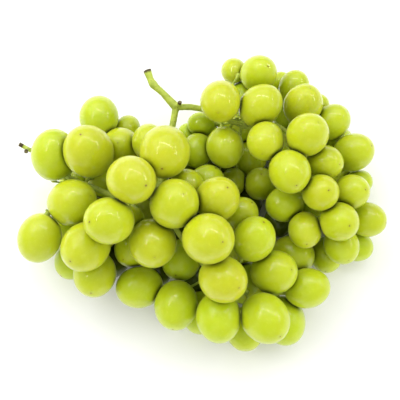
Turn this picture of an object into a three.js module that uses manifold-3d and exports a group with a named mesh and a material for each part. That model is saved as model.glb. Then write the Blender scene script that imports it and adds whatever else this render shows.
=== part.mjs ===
// A bunch of large green table grapes lying on a surface: a forked stalk, and the two lobes of
// berries that hang on it. Millimetres, +Z up, the origin under the middle of the bunch.
import * as THREE from 'three';
import { mergeVertices } from 'three/addons/utils/BufferGeometryUtils.js';
import Module from 'manifold-3d';

const wasm = await Module();
wasm.setup();

// How the bunch is seen from nearly overhead, which turns a place in the picture into millimetres
const PICTURE_MIDDLE = 200;
const FOCAL_PIXELS = 866;
const VIEW_ELEVATION = THREE.MathUtils.degToRad(75);
const VIEW_DISTANCE = 450;
const AIM_HEIGHT = 40;

// Berries
const LENGTH_TO_WIDTH = 1.16;
const OVERLAP = 1.6;
const LOBE_GAP = 0.6;
const FLOOR_SINK = 0.9;
const HIDDEN_RADIUS = { left: 12.2, right: 10.8 };
const MOST_HIDDEN = { left: 16, right: 12 };

// A berry has 80 facets: their corners stand out a little and their middles lie a little inside
const FACET_SWELL = 1.03;
const FACE_REACH = 0.94;

// The bunch lies flatter than the heights that are read from the picture
const HEIGHT_SHARE = 0.9;

// Stalk, with radii in millimetres
const CUT_END = { radius: 2.3, width: 0.14 };
const STALK_RADIUS = 1.75;
const FORK_RADIUS = 2.5;
const KNOT = { place: 0.33, width: 0.07, rise: 0.6 };
const ARM_RADIUS = 1.9;
const TIP_RADIUS = 1.3;
const STUB_RADIUS = 1.25;
const PEDICEL_RADIUS = 0.8;
const RECEPTACLE = { radius: 1.5, length: 1.6 };
const STEM_CLEARANCE = 0.35;
const STEM_MARGIN = 2.4;

// The berries of the picture: the middle and half the width in pixels, the way that the blossom end
// turns (clockwise from up) and leans (0 towards the viewer) in degrees, and the height in millimetres
const berry = (across, down, half, turn, lean, height) => ({ across, down, half, turn, lean, height });

const LEFT_BERRIES = [
  berry(99, 117, 20, 0, 125, 42), berry(88.5, 151.5, 26, -17, 33, 65), berry(54, 155, 23, 5, 68, 47),
  berry(127, 129, 13, 30, 120, 30), berry(121, 147, 20, -20, 8, 44), berry(164.5, 152, 25.5, 185, 37, 64),
  berry(149, 142, 17, 0, 130, 46), berry(131, 180.5, 24, 110, 38, 70), berry(72, 202.5, 23.5, 72, 54, 50),
  berry(38, 239.5, 22, 199, 95, 45), berry(109, 220.5, 23.5, 268, 38, 62), berry(127, 219, 16, 90, 60, 50),
  berry(86, 247, 24, 223, 40, 47), berry(74, 259.5, 18.5, 215, 70, 10), berry(95, 273, 21.5, 185, 45, 26),
  berry(152.5, 243, 24.3, 165, 28, 55), berry(175, 204, 25, 45, 28, 72), berry(187, 190, 19, 0, 60, 52),
  berry(206, 184.5, 19, 30, 60, 42), berry(217, 199, 22.3, 40, 35, 62), berry(208, 238.5, 25.3, 98, 28, 62),
  berry(240, 216, 18, 40, 60, 42), berry(254, 239, 21.5, 27, 52, 52), berry(274, 272, 22.5, 76, 39, 42),
  berry(292, 256.5, 21.5, 75, 50, 25), berry(223, 279.5, 23.5, 113, 37, 54), berry(140, 287, 21, 262, 60, 22),
  berry(176, 305, 21.5, 187, 65, 16), berry(219, 316, 22.5, 175, 62, 31), berry(266, 318, 24.3, 139, 48, 42),
  berry(282.5, 322.5, 21.5, 165, 80, 10), berry(242, 330, 19.5, 180, 60, 9), berry(200, 312, 19, 180, 60, 8),
  berry(180, 260, 20, 200, 40, 28), berry(134, 247.5, 19.5, 220, 40, 28), berry(307, 288, 20, 78, 75, 20),
  berry(113, 262, 17, 200, 50, 12), berry(160, 272, 16, 180, 60, 9), berry(194, 280, 14, 180, 60, 20),
];
const RIGHT_BERRIES = [
  berry(234, 71, 13, 330, 149, 40), berry(258.5, 73.5, 18, 62, 26, 42),
  berry(219.5, 101.5, 20.3, 192, 36, 52), berry(260, 103, 20.5, 50, 85, 56), berry(228, 147, 19, 172, 64, 44),
  berry(267.5, 140.5, 19, 198, 42, 60), berry(308.5, 133, 21, 38, 34, 60), berry(303, 105, 19.7, 20, 45, 46),
  berry(294, 87.5, 15.5, 15, 70, 34), berry(281, 84, 11, 0, 90, 26), berry(316, 107, 12.5, 45, 70, 32),
  berry(331.5, 122, 17.5, 55, 60, 38), berry(354, 152, 19, 70, 50, 36), berry(325, 160.5, 17.3, 100, 40, 42),
  berry(292, 171, 21.3, 162, 38, 62), berry(323, 192.5, 18.3, 67, 15, 52), berry(352, 189, 17.3, 80, 35, 38),
  berry(358, 183, 13, 70, 80, 24), berry(341, 221, 19.6, 118, 20, 46), berry(367, 219.5, 17.5, 100, 60, 28),
  berry(343, 244.5, 17.8, 160, 50, 28), berry(357, 246, 15.5, 110, 60, 14),
  berry(328, 255.5, 16.5, 190, 60, 16), berry(305, 230, 17, 180, 45, 36), berry(285, 204, 18.2, 255, 55, 38),
  berry(260, 184, 16, 0, 30, 24), berry(230, 182, 13.5, 200, 50, 24), berry(197, 152, 15.8, 190, 80, 42),
  berry(199.5, 124.5, 12.3, 270, 80, 32), berry(188, 137, 12.5, 330, 60, 21),
  berry(278, 222, 15, 200, 50, 14), berry(312, 212, 14, 200, 50, 24), berry(250, 160, 17, 180, 60, 10),
  berry(248, 204, 14, 180, 60, 9), berry(287, 115, 14, 0, 60, 18),
];

// The stalk's routes: places in the picture with their heights in millimetres
const spot = (across, down, height) => ({ across, down, height });

const STALK = [spot(147, 70, 52), spot(153, 84, 50), spot(163, 93, 48), spot(176, 107, 45)];
const RIGHT_ARM = [
  spot(176, 107, 45), spot(190, 107, 44), spot(200, 108, 42), spot(222, 116, 38), spot(246, 127, 36),
  spot(272, 124, 36), spot(296, 140, 36), spot(312, 176, 34), spot(336, 208, 32),
];
const FRONT_ARM = [
  spot(176, 107, 45), spot(174, 118, 43), spot(172, 128, 40), spot(168, 150, 37), spot(160, 185, 37),
  spot(172, 222, 38), spot(196, 256, 37), spot(226, 286, 34), spot(248, 292, 32),
];
const LEFT_ARM = [
  spot(160, 185, 37), spot(128, 200, 38), spot(100, 190, 38), spot(70, 178, 29), spot(42, 159, 23),
  spot(31, 150, 25), spot(19, 144, 28),
];

// Stubs of side shoots that were cut off, on the fork and near the end of the left arm
const STUBS = [[spot(178, 107, 45), spot(180, 102, 50)], [spot(27, 148, 27), spot(26, 152, 31)]];

const RIGHTWARD = new THREE.Vector3(1, 0, 0);
const FORWARD = new THREE.Vector3(0, Math.cos(VIEW_ELEVATION), -Math.sin(VIEW_ELEVATION));
const UPWARD = new THREE.Vector3(0, Math.sin(VIEW_ELEVATION), Math.cos(VIEW_ELEVATION));
const EYE = new THREE.Vector3(0, 0, AIM_HEIGHT).addScaledVector(FORWARD, -VIEW_DISTANCE);
const DOWN = new THREE.Vector3(0, 0, -1);

// A seeded draw from 0 to 1, so that the bunch is the same each time
const SEED = 3;
function seededDraw(seed) {
  let state = seed;
  return () => {
    state = (state + 0x6d2b79f5) | 0;
    let mixed = Math.imul(state ^ (state >>> 15), 1 | state);
    mixed = (mixed + Math.imul(mixed ^ (mixed >>> 7), 61 | mixed)) ^ mixed;
    return ((mixed ^ (mixed >>> 14)) >>> 0) / 2 ** 32;
  };
}
const draw = seededDraw(SEED);

function fromPicture({ across, down, height }) {
  const ray = new THREE.Vector3()
    .addScaledVector(RIGHTWARD, across - PICTURE_MIDDLE)
    .addScaledVector(UPWARD, PICTURE_MIDDLE - down)
    .addScaledVector(FORWARD, FOCAL_PIXELS);
  const scale = (height * HEIGHT_SHARE - EYE.z) / ray.z;
  return { point: EYE.clone().addScaledVector(ray, scale), scale };
}

function toPicture(point) {
  const offset = point.clone().sub(EYE);
  const scale = offset.dot(FORWARD) / FOCAL_PIXELS;
  return {
    across: PICTURE_MIDDLE + offset.dot(RIGHTWARD) / scale,
    down: PICTURE_MIDDLE - offset.dot(UPWARD) / scale,
    scale,
  };
}

// A berry is a spheroid: radius across, length along its axis, which points to its blossom end
function seenBerry(row, lobe) {
  const { point, scale } = fromPicture(row);
  const turn = THREE.MathUtils.degToRad(row.turn);
  const lean = THREE.MathUtils.degToRad(row.lean);
  const axis = new THREE.Vector3()
    .addScaledVector(RIGHTWARD, Math.sin(turn) * Math.sin(lean))
    .addScaledVector(UPWARD, Math.cos(turn) * Math.sin(lean))
    .addScaledVector(FORWARD, -Math.cos(lean));
  return { centre: point, home: point.clone(), radius: row.half * scale, axis, lobe, seen: true };
}

// How far a berry reaches from its middle to its skin in a direction
function skinAlong({ axis, radius }, direction) {
  const along = axis.dot(direction);
  return (radius * FACET_SWELL) / Math.sqrt(1 - along ** 2 + (along / LENGTH_TO_WIDTH) ** 2);
}

// How far a berry's extent goes in a direction, which is a little more
function extentAlong({ axis, radius }, direction) {
  const along = axis.dot(direction);
  return radius * FACET_SWELL * Math.sqrt(1 - along ** 2 + (along * LENGTH_TO_WIDTH) ** 2);
}

// The space between two berries of one lobe is 0 where they press together as far as they should
function spaceBetween(one, other) {
  const apart = other.centre.clone().sub(one.centre);
  const distance = apart.length();
  const direction = apart.divideScalar(distance);
  const space = one.lobe === other.lobe
    ? distance - skinAlong(one, direction) - skinAlong(other, direction) + OVERLAP
    : distance - extentAlong(one, direction) - extentAlong(other, direction) - LOBE_GAP;
  return { space, direction };
}

// A seen berry moves mostly along the line of sight, so that its place in the picture stays
const SIDEWAYS_EASE = 0.1;
function ease(one, direction) {
  if (!one.seen) return direction.clone();
  const sight = one.centre.clone().sub(EYE).normalize();
  const along = sight.dot(direction);
  return direction.clone().multiplyScalar(SIDEWAYS_EASE)
    .addScaledVector(sight, along * (1 - SIDEWAYS_EASE));
}

function pushApart(one, other) {
  const { space, direction } = spaceBetween(one, other);
  if (space >= 0) return;
  const moveOne = ease(one, direction);
  const moveOther = ease(other, direction);
  const share = -space / (moveOne.dot(direction) + moveOther.dot(direction));
  one.centre.addScaledVector(moveOne, -share);
  other.centre.addScaledVector(moveOther, share);
}

// The space that a berry has beyond the margin round a part of the stalk
function spaceFromStem(one, { point, radius }) {
  const apart = one.centre.clone().sub(point);
  const distance = apart.length();
  const direction = apart.divideScalar(distance);
  return { space: distance - skinAlong(one, direction) - radius - STEM_MARGIN, direction };
}

// Keeps a berry off the surface, apart from its small flat spot, and clear of the stalk
function keepClear(one, rachis) {
  const lowest = extentAlong(one, DOWN) - FLOOR_SINK;
  if (one.centre.z < lowest) one.centre.z = lowest;
  for (const part of rachis) {
    const { space, direction } = spaceFromStem(one, part);
    if (space < 0) {
      const move = ease(one, direction);
      one.centre.addScaledVector(move, -space / move.dot(direction));
    }
  }
}

// Draws a berry back to its place in the picture, less strongly to its height, and ever more strongly
// away from the viewer, on to the berries below it
const HOMEWARD = { sideways: 0.3, along: 0.02 };
const SINKING = 0.03;
function drawHome(one, fade) {
  const sight = one.centre.clone().sub(EYE).normalize();
  const offset = one.home.clone().sub(one.centre);
  const along = offset.dot(sight);
  one.centre.addScaledVector(offset, HOMEWARD.sideways * fade)
    .addScaledVector(sight, (HOMEWARD.along - HOMEWARD.sideways) * fade * along + SINKING * (1 - fade));
}

// Lets the berries find their places
const ROUNDS = 260;
function settle(berries, rachis) {
  for (let round = 0; round < ROUNDS; round += 1) {
    for (const one of berries) drawHome(one, 1 - round / ROUNDS);
    for (let i = 0; i < berries.length; i += 1) {
      for (let j = i + 1; j < berries.length; j += 1) pushApart(berries[i], berries[j]);
      keepClear(berries[i], rachis);
    }
  }
}

// A place is covered where a seen berry stands in front of it in the picture
const NEARER = 4;
const COVER = 1.03;
function covered(place, height, seen) {
  return seen.some(({ view, centre, radius }) => {
    const away = Math.hypot(place.across - view.across, place.down - view.down);
    return away < (radius / view.scale) * COVER && centre.z > height + NEARER;
  });
}

// A place is in a gap of the bunch where higher berries stand near it on every side
const GAP_STEPS = [8, 16, 24, 32];
const GAP_SIDES = 6;
const GAP_DEPTH = 9;
function inGap(place, height, seen) {
  for (let side = 0; side < GAP_SIDES; side += 1) {
    const angle = (side / GAP_SIDES) * 2 * Math.PI;
    const meets = GAP_STEPS.some((step) => covered({
      across: place.across + step * Math.cos(angle),
      down: place.down + step * Math.sin(angle),
    }, height + GAP_DEPTH, seen));
    if (!meets) return false;
  }
  return true;
}

// The places in the picture where the surface would show through the bunch
const OPEN_STEP = 2;
function openPlaces(seen) {
  const places = [];
  for (let across = OPEN_STEP; across < 2 * PICTURE_MIDDLE; across += OPEN_STEP) {
    for (let down = OPEN_STEP; down < 2 * PICTURE_MIDDLE; down += OPEN_STEP) {
      const place = { across, down };
      if (!covered(place, -NEARER, seen) && inGap(place, 0, seen)) places.push(place);
    }
  }
  return places;
}

function within({ across, down }, { view, radius }) {
  return Math.hypot(across - view.across, down - view.down) < radius / view.scale;
}

// A berry is hidden where its middle and its rim are covered or lie in a gap, mostly of its own lobe
const RIM_CHECKS = 12;
function hiddenBehind(one, seen, closes) {
  const { view } = one;
  const own = closes ? seen : seen.filter(({ lobe }) => lobe === one.lobe);
  if (!covered(view, one.centre.z, own) && !inGap(view, one.centre.z, own)) return false;
  const reach = one.radius / view.scale;
  for (let i = 0; i < RIM_CHECKS; i += 1) {
    const angle = (i / RIM_CHECKS) * 2 * Math.PI;
    const place = {
      across: view.across + reach * Math.cos(angle),
      down: view.down + reach * Math.sin(angle),
    };
    if (!covered(place, one.centre.z, seen) && !inGap(place, one.centre.z, seen)) return false;
  }
  return true;
}

// Fills the inside and the underside of a lobe: each new berry touches one that is there, stays behind
// those that the picture shows, and is the one of many tries that closes and touches the most
const SMALLEST = 0.66;
const TRIES = 7000;
function addHidden(berries, lobe, rachis) {
  const seen = berries.filter((one) => one.seen);
  for (const one of berries) one.view = toPicture(one.centre);
  const open = openPlaces(seen).filter((place) => !berries.some((one) => within(place, one)));
  for (let count = 0; count < MOST_HIDDEN[lobe]; count += 1) {
    const own = berries.filter((one) => one.lobe === lobe);
    let best = null;
    for (let attempt = 0; attempt < TRIES; attempt += 1) {
      const tried = tryBeside(own[Math.floor(draw() * own.length)], lobe, rachis);
      const closed = open.filter((place) => within(place, tried)).length;
      const score = scoreOf(tried, berries, rachis, seen, closed);
      if (score > (best?.score ?? 0)) best = { tried, score };
    }
    if (!best) break;
    berries.push(best.tried);
    open.splice(0, open.length, ...open.filter((place) => !within(place, best.tried)));
  }
}

// Tries a berry at a drawn place against a neighbour, put down on the surface if it comes near that
const MOST_UPWARD = 0.7;
const ROOM_FOR_LENGTH = 1.05;
const NEAR_SURFACE = 2;
function tryBeside(neighbour, lobe, rachis) {
  const radius = HIDDEN_RADIUS[lobe] * (SMALLEST + (1 - SMALLEST) * draw());
  const turn = draw() * 2 * Math.PI;
  const rise = draw() * (1 + MOST_UPWARD) - 1;
  const flat = Math.sqrt(Math.max(0, 1 - rise ** 2));
  const direction = new THREE.Vector3(Math.cos(turn) * flat, Math.sin(turn) * flat, rise).normalize();
  const reach = skinAlong(neighbour, direction) + radius * FACET_SWELL * ROOM_FOR_LENGTH - OVERLAP;
  const centre = neighbour.centre.clone().addScaledVector(direction, reach);
  const tried = { centre, radius, axis: awayFrom(rachis, centre), lobe, seen: false };
  const lowest = extentAlong(tried, DOWN) - FLOOR_SINK;
  if (centre.z < lowest + NEAR_SURFACE) centre.z = lowest;
  tried.view = toPicture(centre);
  return tried;
}

// The blossom end points away from the nearest part of the stalk, more or less
const WANDER = 0.5;
function awayFrom(rachis, centre) {
  let nearest = rachis[0];
  for (const part of rachis) {
    if (part.point.distanceTo(centre) < nearest.point.distanceTo(centre)) nearest = part;
  }
  const wander = new THREE.Vector3(draw() - 0.5, draw() - 0.5, draw() - 0.5).multiplyScalar(WANDER);
  return centre.clone().sub(nearest.point).normalize().add(wander).normalize();
}

// A tried berry is worth more where it touches others, is large, lies low or closes an open place, and
// nothing where it stands in another berry or the stalk, or shows
const DEEPEST = 0.7;
const TOUCHING = 0.7;
const SIZE_WORTH = 0.2;
const LOW_WORTH = 14;
const CLOSING_WORTH = 0.6;
function scoreOf(tried, berries, rachis, seen, closed) {
  let touching = 0;
  for (const other of berries) {
    const { space } = spaceBetween(tried, other);
    if (space < -DEEPEST) return 0;
    if (space < TOUCHING && other.lobe === tried.lobe) touching += 1;
  }
  for (const { point, radius } of rachis) {
    if (tried.centre.distanceTo(point) < tried.radius * LENGTH_TO_WIDTH + radius + STEM_MARGIN) return 0;
  }
  if (!hiddenBehind(tried, seen, closed > 0)) return 0;
  return touching + SIZE_WORTH * tried.radius + LOW_WORTH / tried.centre.z + CLOSING_WORTH * closed;
}

// Moves each group of berries that stands loose against its lobe: away from the viewer where that
// brings it there, and otherwise towards the nearest berry
const CLOSE_ENOUGH = 0.15;
const LOWERING = { step: 0.1, most: 100 };
function touchingGroup(first, own) {
  const group = new Set([first]);
  const queue = [first];
  while (queue.length) {
    const one = queue.pop();
    for (const other of own) {
      if (!group.has(other) && spaceBetween(one, other).space < CLOSE_ENOUGH) {
        group.add(other);
        queue.push(other);
      }
    }
  }
  return group;
}

function lowered(group, main, others, rachis) {
  const sight = [...group][0].centre.clone().sub(EYE).normalize();
  for (let count = 1; count <= LOWERING.most; count += 1) {
    for (const one of group) one.centre.addScaledVector(sight, LOWERING.step);
    const meets = (all, room) => [...group].some((one) => (
      all.some((other) => spaceBetween(one, other).space < room)));
    if (meets(main, CLOSE_ENOUGH)) return true;
    const blocked = meets(others, 0)
      || [...group].some((one) => rachis.some((part) => spaceFromStem(one, part).space < 0));
    if (blocked || count === LOWERING.most) {
      for (const one of group) one.centre.addScaledVector(sight, -LOWERING.step * count);
      return false;
    }
  }
  return false;
}

function closeUp(berries, lobe, rachis) {
  const own = berries.filter((one) => one.lobe === lobe);
  const others = berries.filter((one) => one.lobe !== lobe);
  const main = touchingGroup(own[0], own);
  while (main.size < own.length) {
    let closest = null;
    for (const one of own.filter((each) => !main.has(each))) {
      for (const other of main) {
        const found = spaceBetween(one, other);
        if (!closest || found.space < closest.space) closest = { ...found, one };
      }
    }
    const group = touchingGroup(closest.one, own);
    if (!lowered(group, [...main], others, rachis)) {
      for (const one of group) one.centre.addScaledVector(closest.direction, closest.space);
    }
    for (const one of group) main.add(one);
  }
}

function along(route) {
  return new THREE.CatmullRomCurve3(route.map((place) => fromPicture(place).point), false, 'centripetal');
}

// A round bar of changing radius along a curve, closed at both ends
function taperedBar(curve, radiusAt, sides, steps) {
  const bar = new THREE.CylinderGeometry(1, 1, 1, sides, steps);
  const frames = curve.computeFrenetFrames(steps, false);
  const position = bar.getAttribute('position');
  const vertex = new THREE.Vector3();
  for (let i = 0; i < position.count; i += 1) {
    vertex.fromBufferAttribute(position, i);
    const step = Math.round((vertex.y + 0.5) * steps);
    const radius = radiusAt(step / steps);
    const placed = curve.getPointAt(step / steps)
      .addScaledVector(frames.normals[step], vertex.z * radius)
      .addScaledVector(frames.binormals[step], vertex.x * radius);
    position.setXYZ(i, placed.x, placed.y, placed.z);
  }
  return toSolid(bar);
}

const SAME_POINT = 1e-5;
function toSolid(geometry) {
  for (const name of ['normal', 'uv']) geometry.deleteAttribute(name);
  const merged = mergeVertices(geometry, SAME_POINT);
  const mesh = new wasm.Mesh({
    numProp: 3,
    vertProperties: new Float32Array(merged.getAttribute('position').array),
    triVerts: new Uint32Array((merged.index ?? merged).array),
  });
  const solid = new wasm.Manifold(mesh);
  return solid.volume() < 0 ? flipped(mesh) : solid;
}

function flipped(mesh) {
  return new wasm.Manifold(new wasm.Mesh({
    numProp: 3,
    vertProperties: mesh.vertProperties,
    triVerts: mesh.triVerts.slice().reverse(),
  }));
}

// The stalk and its arms, each a curve with its radius from 0, the thick end, to 1
const blend = THREE.MathUtils.lerp;
const bump = (share, middle, width) => Math.exp(-(((share - middle) / width) ** 2));
const armRadius = (share) => blend(ARM_RADIUS, TIP_RADIUS, share);
const stalkRadius = (share) => blend(STALK_RADIUS, FORK_RADIUS, share ** 3)
  + (CUT_END.radius - STALK_RADIUS) * bump(share, 0, CUT_END.width)
  + KNOT.rise * bump(share, KNOT.place, KNOT.width);
const RACHIS = [
  { curve: along(STALK), radiusAt: stalkRadius, sides: 10, steps: 15 },
  { curve: along(RIGHT_ARM), radiusAt: armRadius, sides: 6, steps: 14 },
  { curve: along(FRONT_ARM), radiusAt: armRadius, sides: 6, steps: 14 },
  { curve: along(LEFT_ARM), radiusAt: armRadius, sides: 6, steps: 10 },
];
const STUB_SIDES = 6;
const SAMPLES = 24;
const rachisParts = RACHIS.flatMap(({ curve, radiusAt }) => Array.from({ length: SAMPLES + 1 }, (_, i) => (
  { point: curve.getPointAt(i / SAMPLES), radius: radiusAt(i / SAMPLES) })));

// The free space between the berries, as a grid with the cost of each place's way to the stalk. TIGHT
// gives the cost of a step through less than so many millimetres of room
const PATH_STEP = 2.5;
const GRID_MARGIN = 14;
const TIGHT = [[0.6, 60], [1.4, 12], [2, 3]];
const SHOWN_COST = 14;
const LOWEST_WAY = 2.5;
class FreeSpace {
  constructor(berries) {
    this.box = new THREE.Box3().setFromPoints(berries.map((one) => one.centre)).expandByScalar(GRID_MARGIN);
    this.box.min.z = LOWEST_WAY;
    this.counts = this.box.getSize(new THREE.Vector3()).divideScalar(PATH_STEP).ceil().toArray();
    const total = this.counts[0] * this.counts[1] * this.counts[2];
    this.weight = new Float64Array(total);
    this.cost = new Float64Array(total).fill(Infinity);
    this.parent = new Int32Array(total).fill(-1);
    this.root = new Map();
    const seen = berries.filter((one) => one.seen);
    for (let cell = 0; cell < total; cell += 1) {
      this.weight[cell] = this.weigh(this.pointOf(cell), berries, seen);
    }
  }

  pointOf(cell) {
    const [nx, ny] = this.counts;
    const steps = new THREE.Vector3(cell % nx, Math.floor(cell / nx) % ny, Math.floor(cell / (nx * ny)));
    return this.box.min.clone().addScaledVector(steps, PATH_STEP);
  }

  cellOf(point) {
    const [nx, ny, nz] = this.counts;
    const steps = point.clone().sub(this.box.min).divideScalar(PATH_STEP).round();
    const limit = (value, count) => Math.min(count - 1, Math.max(0, value));
    return limit(steps.x, nx) + nx * (limit(steps.y, ny) + ny * limit(steps.z, nz));
  }

  weigh(point, berries, seen) {
    let clearance = Infinity;
    for (const one of berries) {
      const apart = point.clone().sub(one.centre);
      const distance = apart.length();
      if (distance - one.radius * FACET_SWELL * LENGTH_TO_WIDTH < clearance) {
        clearance = Math.min(clearance, distance - skinAlong(one, apart.divideScalar(distance)));
      }
    }
    const shown = covered(toPicture(point), point.z - NEARER, seen) ? 1 : SHOWN_COST;
    const tight = TIGHT.find(([limit]) => clearance < limit);
    return (tight ? tight[1] : 1) * shown;
  }

  // Spreads from the stalk outwards, always from the cheapest place that is still open
  spread(parts) {
    const open = new Queue();
    for (const { point } of parts) {
      const cell = this.cellOf(point);
      if (this.root.has(cell)) continue;
      this.root.set(cell, point);
      this.cost[cell] = 0;
      open.push(0, cell);
    }
    const [nx, ny, nz] = this.counts;
    for (let next = open.pop(); next; next = open.pop()) {
      const [cost, cell] = next;
      if (cost > this.cost[cell]) continue;
      const [x, y, z] = [cell % nx, Math.floor(cell / nx) % ny, Math.floor(cell / (nx * ny))];
      for (const [dx, dy, dz, length] of NEIGHBOURS) {
        const inside = x + dx >= 0 && x + dx < nx && y + dy >= 0 && y + dy < ny && z + dz >= 0 && z + dz < nz;
        if (!inside) continue;
        const beside = cell + dx + nx * (dy + ny * dz);
        const total = cost + length * this.weight[beside];
        if (total < this.cost[beside]) {
          this.cost[beside] = total;
          this.parent[beside] = cell;
          open.push(total, beside);
        }
      }
    }
  }

  wayHome(cell) {
    const way = [cell];
    while (this.parent[way[way.length - 1]] >= 0) way.push(this.parent[way[way.length - 1]]);
    return way;
  }
}

const NEIGHBOURS = [];
for (const dx of [-1, 0, 1]) {
  for (const dy of [-1, 0, 1]) {
    for (const dz of [-1, 0, 1]) {
      if (dx || dy || dz) NEIGHBOURS.push([dx, dy, dz, Math.hypot(dx, dy, dz)]);
    }
  }
}

// A queue that gives back its cheapest entry first
class Queue {
  heap = [];

  push(cost, value) {
    const { heap } = this;
    let at = heap.push([cost, value]) - 1;
    while (at > 0) {
      const above = (at - 1) >> 1;
      if (heap[above][0] <= heap[at][0]) break;
      [heap[above], heap[at]] = [heap[at], heap[above]];
      at = above;
    }
  }

  pop() {
    const { heap } = this;
    const first = heap[0];
    const last = heap.pop();
    if (heap.length) {
      heap[0] = last;
      let at = 0;
      for (;;) {
        let least = at;
        for (const below of [2 * at + 1, 2 * at + 2]) {
          if (below < heap.length && heap[below][0] < heap[least][0]) least = below;
        }
        if (least === at) break;
        [heap[least], heap[at]] = [heap[at], heap[least]];
        at = least;
      }
    }
    return first;
  }
}

// The pedicels and the small branches that carry them: each way home from a berry ends where it meets
// one that is there, and a branch is thicker the more berries it carries
const PEDICEL_START = 2.5;
const FOOT_GAP = 0.05;
const CELLS_A_POINT = 3;
const FINE_STEPS_A_CELL = 4;
const BAR_STEP = 9;
const BRANCH_POWER = 0.3;
const PEDICEL_SIDES = { seen: 4, hidden: 3 };
function growPedicels(berries, parts) {
  const space = new FreeSpace(berries);
  space.spread(parts);
  const ways = berries.map((one) => {
    const reach = grownRadius(one, STEM_CLEARANCE) * LENGTH_TO_WIDTH + FOOT_GAP;
    const foot = one.centre.clone().addScaledVector(one.axis, -reach);
    const start = foot.clone().addScaledVector(one.axis, -PEDICEL_START);
    return { foot, start, cells: space.wayHome(space.cellOf(start)), seen: one.seen };
  });
  const carried = new Map();
  for (const { cells } of ways) for (const cell of cells) carried.set(cell, (carried.get(cell) ?? 0) + 1);
  const placed = new Map();
  const bars = [];
  for (const way of ways.sort((one, other) => other.cells.length - one.cells.length)) {
    bars.push(pedicel(way, space, carried, placed));
  }
  return bars;
}

function pedicel({ foot, start, cells, seen }, space, carried, placed) {
  const meets = cells.findIndex((cell) => placed.has(cell) || space.root.has(cell));
  const own = cells.slice(0, meets);
  const end = placed.get(cells[meets]) ?? space.root.get(cells[meets]);
  const between = own.filter((_, i) => i > 0 && i % CELLS_A_POINT === 0).map((cell) => space.pointOf(cell));
  const curve = new THREE.CatmullRomCurve3([foot, start, ...between, end], false, 'centripetal');
  const length = curve.getLength();
  const fine = curve.getSpacedPoints(FINE_STEPS_A_CELL * (own.length + 2));
  for (const cell of own) {
    const point = space.pointOf(cell);
    placed.set(cell, fine.reduce((best, next) => (
      next.distanceToSquared(point) < best.distanceToSquared(point) ? next : best)));
  }
  const radiusAt = (share) => {
    const count = carried.get(own[Math.min(own.length - 1, Math.floor(share * own.length))]) ?? 1;
    const flare = (RECEPTACLE.radius - PEDICEL_RADIUS) * bump(share * length, 0, RECEPTACLE.length);
    return PEDICEL_RADIUS * count ** BRANCH_POWER + flare;
  };
  const sides = seen ? PEDICEL_SIDES.seen : PEDICEL_SIDES.hidden;
  return taperedBar(curve, radiusAt, sides, Math.max(2, Math.round(length / BAR_STEP)));
}

// The radius of a berry's facets, grown so that their middles move out by the room that is wanted
function grownRadius(one, room) {
  return one.radius * FACET_SWELL * (1 + room / (FACE_REACH * one.radius));
}

// A berry's facets, with room left round them where it is taken out of the stalk
function berrySolid(one, room = 0) {
  const ball = new THREE.IcosahedronGeometry(1, 1);
  const radius = grownRadius(one, room);
  const turned = new THREE.Quaternion().setFromUnitVectors(new THREE.Vector3(0, 1, 0), one.axis);
  const size = new THREE.Vector3(radius, radius * LENGTH_TO_WIDTH, radius);
  ball.applyMatrix4(new THREE.Matrix4().compose(one.centre, turned, size));
  return toSolid(ball);
}

const SLAB = { width: 600, depth: 60 };
function belowFloor() {
  const slab = new THREE.BoxGeometry(SLAB.width, SLAB.width, SLAB.depth);
  slab.translate(0, 0, -SLAB.depth / 2);
  return toSolid(slab);
}

function largest(solid) {
  return solid.decompose().reduce((best, next) => (next.volume() > best.volume() ? next : best));
}

function toMesh(solid, name, finish, shift) {
  const { vertProperties, triVerts } = solid.getMesh();
  const geometry = new THREE.BufferGeometry();
  geometry.setAttribute('position', new THREE.BufferAttribute(vertProperties, 3));
  geometry.setIndex(new THREE.BufferAttribute(triVerts, 1));
  geometry.translate(shift.x, shift.y, shift.z);
  geometry.computeVertexNormals();
  const mesh = new THREE.Mesh(geometry, new THREE.MeshStandardMaterial({ ...finish, metalness: 0 }));
  mesh.name = name;
  return mesh;
}

const berries = [
  ...LEFT_BERRIES.map((row) => seenBerry(row, 'left')),
  ...RIGHT_BERRIES.map((row) => seenBerry(row, 'right')),
];
settle(berries, rachisParts);
addHidden(berries, 'left', rachisParts);
addHidden(berries, 'right', rachisParts);
closeUp(berries, 'left', rachisParts);
closeUp(berries, 'right', rachisParts);

// Joins what belongs together, with the finest facets merged away
const FINENESS = 0.12;
const STEM_FINENESS = 0.24;
const floor = belowFloor();
const lobeSolid = (lobe) => {
  const own = berries.filter((one) => one.lobe === lobe);
  return largest(wasm.Manifold.union(own.map((one) => berrySolid(one))).subtract(floor)).simplify(FINENESS);
};
const leftSolid = lobeSolid('left');
const rightSolid = lobeSolid('right');
const bars = [
  ...RACHIS.map((arm) => taperedBar(arm.curve, arm.radiusAt, arm.sides, arm.steps)),
  ...STUBS.map((stub) => taperedBar(along(stub), () => STUB_RADIUS, STUB_SIDES, 1)),
  ...growPedicels(berries, rachisParts),
];
const berryRoom = wasm.Manifold.union(berries.map((one) => berrySolid(one, STEM_CLEARANCE)));
const branches = wasm.Manifold.union(bars).simplify(FINENESS).subtract(berryRoom);
const stemSolid = largest(branches).simplify(STEM_FINENESS);

const bounds = wasm.Manifold.compose([leftSolid, rightSolid, stemSolid]).boundingBox();
const shift = new THREE.Vector3(
  -(bounds.min[0] + bounds.max[0]) / 2,
  -(bounds.min[1] + bounds.max[1]) / 2,
  -bounds.min[2],
);

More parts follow.
